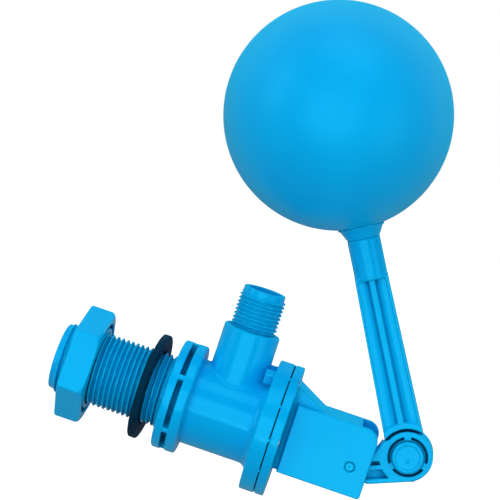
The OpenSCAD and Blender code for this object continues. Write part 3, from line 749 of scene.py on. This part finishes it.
# colour and dark are the flow marks; light is for paler edges (partly wear, partly a painted highlight), rim is a
# painted rim sheen, and the last tint is painted shade in crevices
TINTS = {
    "colour": (0.0004, 0.46, 0.93),
    "dark": (0.0003, 0.43, 0.89),
    "light": (0.003, 0.6, 1.0),
    "rim": (0.001, 0.62, 1.0),
    "painted_shade": (0.0, 0.13, 0.3),
}
BLUE = moulded_plastic("blue_plastic", rough=0.18, **TINTS)
SATIN_BLUE = moulded_plastic("satin_blue_plastic", rough=0.38, **TINTS)
RUBBER = soft_rubber("rubber", (0.0005, 0.016, 0.036), 0.6)
NYLON = natural_nylon("natural_nylon", (0.82, 0.8, 0.72), 0.38)
STEEL = turned_steel("steel", (0.55, 0.56, 0.58), 0.3)
FINISH = {"blue_plastic": BLUE, "rubber": RUBBER, "natural_nylon": NYLON, "steel": STEEL}

for entry in frame["record"]["subparts"]:
    cad = frame["nodes"][entry["node"]]
    cad.data.materials.clear()
    cad.data.materials.append(FINISH[entry["material_slot"]])


# ---------- the pieces ----------

PIECES = [
    # name, body, solid, fineness of the mesh in mm, material slot
    ("valve_body", "body", valve_body, 0.42, "blue_plastic"),
    ("cover", "body", cover, 0.45, "blue_plastic"),
    ("lock_nut", "lock_nut", lock_nut, 0.5, "blue_plastic"),
    ("wall_gasket", "wall_gasket", wall_gasket, 0.4, "rubber"),
    ("lever", "lever", lever, 0.32, "blue_plastic"),
    ("elbow_pin", "lever", elbow_pin, 0.28, "blue_plastic"),
    ("elbow_wing_nut", "lever", wing_nut, 0.35, "blue_plastic"),
    ("float_arm", "float", float_arm, 0.4, "blue_plastic"),
    ("float_stem", "float", float_stem, 0.4, "blue_plastic"),
    ("float_near_shell", "float", shell(-1), 0.85, "blue_plastic"),
    ("float_far_shell", "float", shell(1), 0.85, "blue_plastic"),
]

for node, body, solid, step, slot in PIECES:
    low, high = box_mm(node)
    finish = SATIN_BLUE if node.endswith("_shell") else FINISH[slot]
    piece = mould(node + "_moulded", body, solid, low, high, step, finish)
    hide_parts(node)


# ---------- stage, light and camera ----------

LAMP_COLOUR = (0.75, 0.95, 1.0)
REFLECTED_SKY = (0.02, 0.62, 1.0)
MIDDLE = Vector((0.03, 0, 0.07))
FLOOR_Z, FLOOR_HALF = -0.30, 6.0
LAMPS = [
    # name, place in metres, size in metres, power in watts
    ("front_box", (-0.05, -1.25, 0.05), (1.3, 1.1), 8.2),
    ("low_strip", (0.12, -1.05, -0.42), (0.75, 0.36), 5.0),
    ("left_box", (-1.1, -0.5, 0.3), (0.6, 0.9), 2.6),
    ("top_box", (-0.1, -0.5, 1.2), (1.0, 0.8), 2.8),
    ("right_box", (1.1, -0.7, 0.2), (0.6, 0.9), 2.2),
]


def area_light(name, place, size, power):
    """A softbox that points at the middle of the object."""
    data = bpy.data.lights.new(name, "AREA")
    data.shape = "RECTANGLE"
    data.size, data.size_y = size
    data.energy = power
    data.color = LAMP_COLOUR
    obj = bpy.data.objects.new(name, data)
    bpy.context.scene.collection.objects.link(obj)
    obj.location = place
    obj.rotation_mode = "QUATERNION"
    obj.rotation_quaternion = (MIDDLE - Vector(place)).to_track_quat("-Z", "Y")


def pale_floor():
    """A plain floor: white to the camera, and a pale grey in the light it gives back."""
    mesh = bpy.data.meshes.new("floor")
    corners = [(x * FLOOR_HALF, y * FLOOR_HALF, FLOOR_Z) for x, y in ((-1, -1), (1, -1), (1, 1), (-1, 1))]
    mesh.from_pydata(corners, [], [(0, 1, 2, 3)])
    mat, nodes, links, shader, _ = new_material("pale_floor", (0.3, 0.3, 0.3), 0.9)
    shader.inputs["Specular IOR Level"].default_value = 0.0
    shader.inputs["Emission Color"].default_value = (1, 1, 1, 1)
    seen = nodes.new("ShaderNodeLightPath").outputs["Is Camera Ray"]
    links.new(seen, shader.inputs["Emission Strength"])
    mesh.materials.append(mat)
    obj = bpy.data.objects.new("floor", mesh)
    bpy.context.scene.collection.objects.link(obj)


def studio_light(tree):
    """White for the camera, a softer light from beyond the object, and cyan in reflections."""
    nodes, links = tree.nodes, tree.links
    seen = nodes["Background"]
    seen.inputs["Color"].default_value = (1, 1, 1, 1)
    cast = nodes.new("ShaderNodeBackground")
    split = nodes.new("ShaderNodeSeparateXYZ")
    links.new(nodes.new("ShaderNodeTexCoord").outputs["Generated"], split.inputs["Vector"])
    total = nodes.new("ShaderNodeMath")
    links.new(between(nodes, links, split.outputs["Z"], -0.6, 0.8, 0.18, 0.46), total.inputs[0])
    path = nodes.new("ShaderNodeLightPath")
    mirrored = path.outputs["Is Glossy Ray"]
    links.new(blend_colour(nodes, links, mirrored, (1, 1, 1), REFLECTED_SKY), cast.inputs["Color"])
    diffuse = between(nodes, links, mirrored, 0.0, 1.0, 1.0, 0.3)
    behind = between(nodes, links, split.outputs["Y"], 0.15, 0.8, 0.0, 1.15)
    links.new(product(nodes, links, behind, diffuse), total.inputs[1])
    links.new(total.outputs[0], cast.inputs["Strength"])
    mix = nodes.new("ShaderNodeMixShader")
    links.new(path.outputs["Is Camera Ray"], mix.inputs["Fac"])
    links.new(cast.outputs["Background"], mix.inputs[1])
    links.new(seen.outputs["Background"], mix.inputs[2])
    links.new(mix.outputs["Shader"], nodes["World Output"].inputs["Surface"])


pale_floor()
world = bpy.data.worlds.new("studio")
world.use_nodes = True
studio_light(world.node_tree)
scene = bpy.context.scene
scene.world = world
scene.view_settings.view_transform = "Standard"

for lamp in LAMPS:
    area_light(*lamp)

EYE, AIM = Vector((0.0701, -0.7729, 0.1506)), Vector((0.01475, 0.0, 0.07285))
ROLL = math.radians(18.07)
SENSOR_MM, LENS_MM = 36.0, 125.71
camera = bpy.data.objects.new("camera", bpy.data.cameras.new("camera"))
scene.collection.objects.link(camera)
scene.camera = camera
camera.data.sensor_width = SENSOR_MM
camera.data.lens = LENS_MM
camera.data.clip_start = 0.02
camera.data.clip_end = 30
aimed = (AIM - EYE).normalized().to_track_quat("-Z", "Y")
camera.location = EYE
camera.rotation_mode = "QUATERNION"
camera.rotation_quaternion = aimed @ Matrix.Rotation(ROLL, 3, "Z").to_quaternion()
